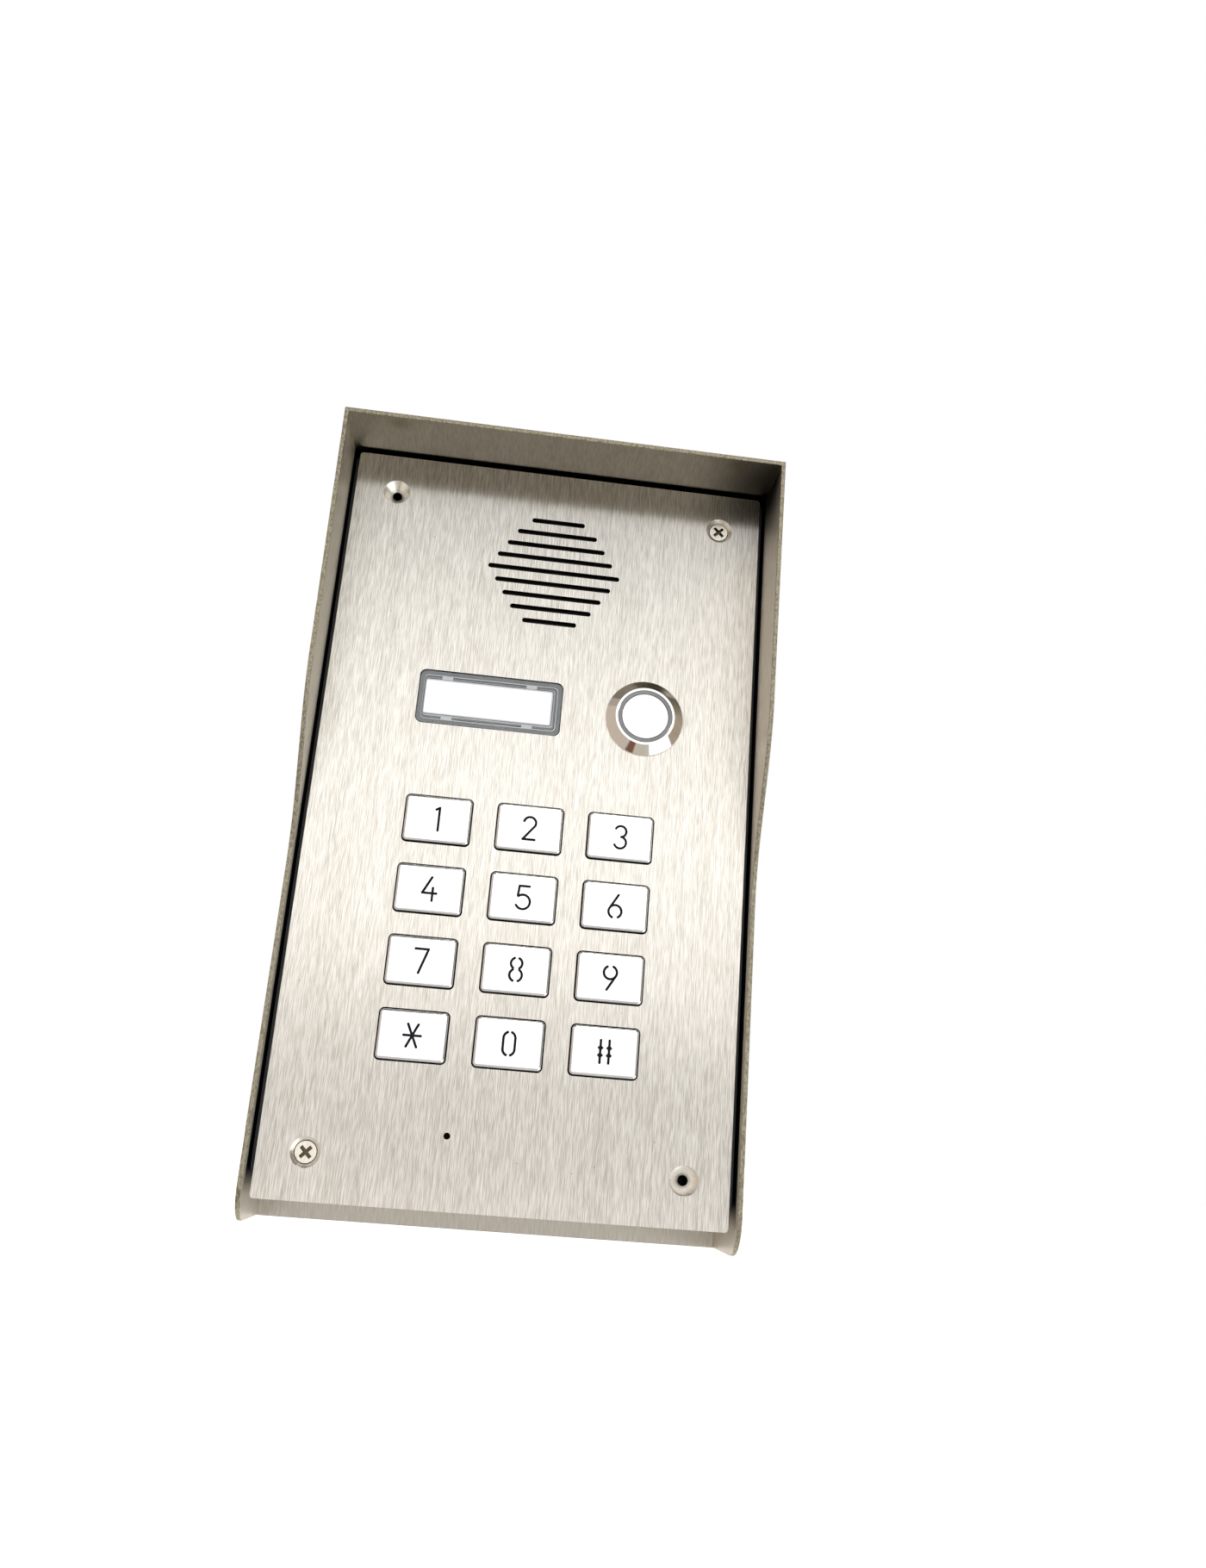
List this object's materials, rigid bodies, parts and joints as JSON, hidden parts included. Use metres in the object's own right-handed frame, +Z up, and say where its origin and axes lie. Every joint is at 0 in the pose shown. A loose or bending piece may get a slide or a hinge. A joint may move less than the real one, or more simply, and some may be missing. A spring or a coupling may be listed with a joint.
{
  "type": "door intercom panel",
  "caption": "Stainless steel door intercom panel in a folded rain hood, with slotted speaker, lit name window, round call button, keypad and microphone.",
  "frame": {"origin": "middle of the four wall screw holes, on the back face of the hood's back plate, behind the middle of the front panel", "axes": "+X to the viewer's right across the panel, +Y into the wall, +Z up"},
  "size_m": [0.126, 0.049, 0.2171],
  "materials": {
    "hood_steel": "brushed, folded sheet",
    "panel_steel": "vertical brushed grain",
    "key_steel": "fine satin, almost polished",
    "polished_steel": "turned and polished",
    "spun_steel": "spun, circular grain",
    "screw_steel": "bright",
    "zinc_steel": "zinc plated",
    "black_plastic": "moulded, fine texture",
    "white_plastic": "translucent moulded",
    "grey_plastic": "smooth",
    "green_plastic": "moulded",
    "red_plastic": "smooth",
    "blue_plastic": "smoked dark blue",
    "grey_lens": "smoked translucent",
    "clear_plastic": "clear moulded",
    "label_card": "matt white card",
    "black_foam": "closed cell foam",
    "black_rubber": "matt",
    "grey_rubber": "silicone, matt",
    "black_cloth": "fine acoustic weave",
    "cone_paper": "pressed fibre",
    "ferrite": "ground",
    "green_board": "solder mask"
  },
  "bodies": {
    "housing": {"rain_hood": "hood_steel", "front_panel": "panel_steel", "panel_gasket": "black_foam", "back_box": "black_plastic", "threaded_inserts": "zinc_steel", "panel_screws": "screw_steel", "cable_bush": "black_rubber", "weld_studs": "zinc_steel", "stud_nuts": "zinc_steel", "window_lens": "clear_plastic", "name_label": "label_card", "label_diffuser": "white_plastic", "window_retainer": "black_plastic", "window_led_board": "green_board", "button_body": "polished_steel", "button_seal": "black_rubber", "button_nut": "zinc_steel", "button_led_ring": "grey_lens", "button_switch": "black_plastic", "speaker_gasket": "black_foam", "speaker_mesh": "black_cloth", "speaker_basket": "zinc_steel", "speaker_cone": "cone_paper", "speaker_magnet": "ferrite", "speaker_retainer": "zinc_steel", "microphone": "black_cloth", "microphone_boot": "black_rubber", "keypad_mat": "grey_rubber", "keypad_board": "green_board", "board_spacers": "white_plastic", "main_board": "green_board", "board_screws": "zinc_steel", "terminal_block": "green_plastic", "keypad_ribbon": "grey_plastic", "speaker_lead": "red_plastic"},
    "key_1": {"key_cap_1": "key_steel", "key_plunger_1": "blue_plastic"},
    "key_2": {"key_cap_2": "key_steel", "key_plunger_2": "blue_plastic"},
    "key_3": {"key_cap_3": "key_steel", "key_plunger_3": "blue_plastic"},
    "key_4": {"key_cap_4": "key_steel", "key_plunger_4": "blue_plastic"},
    "key_5": {"key_cap_5": "key_steel", "key_plunger_5": "blue_plastic"},
    "key_6": {"key_cap_6": "key_steel", "key_plunger_6": "blue_plastic"},
    "key_7": {"key_cap_7": "key_steel", "key_plunger_7": "blue_plastic"},
    "key_8": {"key_cap_8": "key_steel", "key_plunger_8": "blue_plastic"},
    "key_9": {"key_cap_9": "key_steel", "key_plunger_9": "blue_plastic"},
    "key_star": {"key_cap_star": "key_steel", "key_plunger_star": "blue_plastic"},
    "key_0": {"key_cap_0": "key_steel", "key_plunger_0": "blue_plastic"},
    "key_hash": {"key_cap_hash": "key_steel", "key_plunger_hash": "blue_plastic"},
    "call_button": {"button_cap": "spun_steel"}
  },
  "joints": [
    {"name": "key_1_press", "type": "slide", "parent": "housing", "child": "key_1", "axis": [0, 1, 0], "range_m": [0, 0.001], "stiffness_N_per_m": 2000, "springref_m": -0.0005},
    {"name": "key_2_press", "type": "slide", "parent": "housing", "child": "key_2", "axis": [0, 1, 0], "range_m": [0, 0.001], "stiffness_N_per_m": 2000, "springref_m": -0.0005},
    {"name": "key_3_press", "type": "slide", "parent": "housing", "child": "key_3", "axis": [0, 1, 0], "range_m": [0, 0.001], "stiffness_N_per_m": 2000, "springref_m": -0.0005},
    {"name": "key_4_press", "type": "slide", "parent": "housing", "child": "key_4", "axis": [0, 1, 0], "range_m": [0, 0.001], "stiffness_N_per_m": 2000, "springref_m": -0.0005},
    {"name": "key_5_press", "type": "slide", "parent": "housing", "child": "key_5", "axis": [0, 1, 0], "range_m": [0, 0.001], "stiffness_N_per_m": 2000, "springref_m": -0.0005},
    {"name": "key_6_press", "type": "slide", "parent": "housing", "child": "key_6", "axis": [0, 1, 0], "range_m": [0, 0.001], "stiffness_N_per_m": 2000, "springref_m": -0.0005},
    {"name": "key_7_press", "type": "slide", "parent": "housing", "child": "key_7", "axis": [0, 1, 0], "range_m": [0, 0.001], "stiffness_N_per_m": 2000, "springref_m": -0.0005},
    {"name": "key_8_press", "type": "slide", "parent": "housing", "child": "key_8", "axis": [0, 1, 0], "range_m": [0, 0.001], "stiffness_N_per_m": 2000, "springref_m": -0.0005},
    {"name": "key_9_press", "type": "slide", "parent": "housing", "child": "key_9", "axis": [0, 1, 0], "range_m": [0, 0.001], "stiffness_N_per_m": 2000, "springref_m": -0.0005},
    {"name": "key_star_press", "type": "slide", "parent": "housing", "child": "key_star", "axis": [0, 1, 0], "range_m": [0, 0.001], "stiffness_N_per_m": 2000, "springref_m": -0.0005},
    {"name": "key_0_press", "type": "slide", "parent": "housing", "child": "key_0", "axis": [0, 1, 0], "range_m": [0, 0.001], "stiffness_N_per_m": 2000, "springref_m": -0.0005},
    {"name": "key_hash_press", "type": "slide", "parent": "housing", "child": "key_hash", "axis": [0, 1, 0], "range_m": [0, 0.001], "stiffness_N_per_m": 2000, "springref_m": -0.0005},
    {"name": "call_button_press", "type": "slide", "parent": "housing", "child": "call_button", "axis": [0, 1, 0], "range_m": [0, 0.0015], "stiffness_N_per_m": 2000, "springref_m": -0.0005}
  ]
}
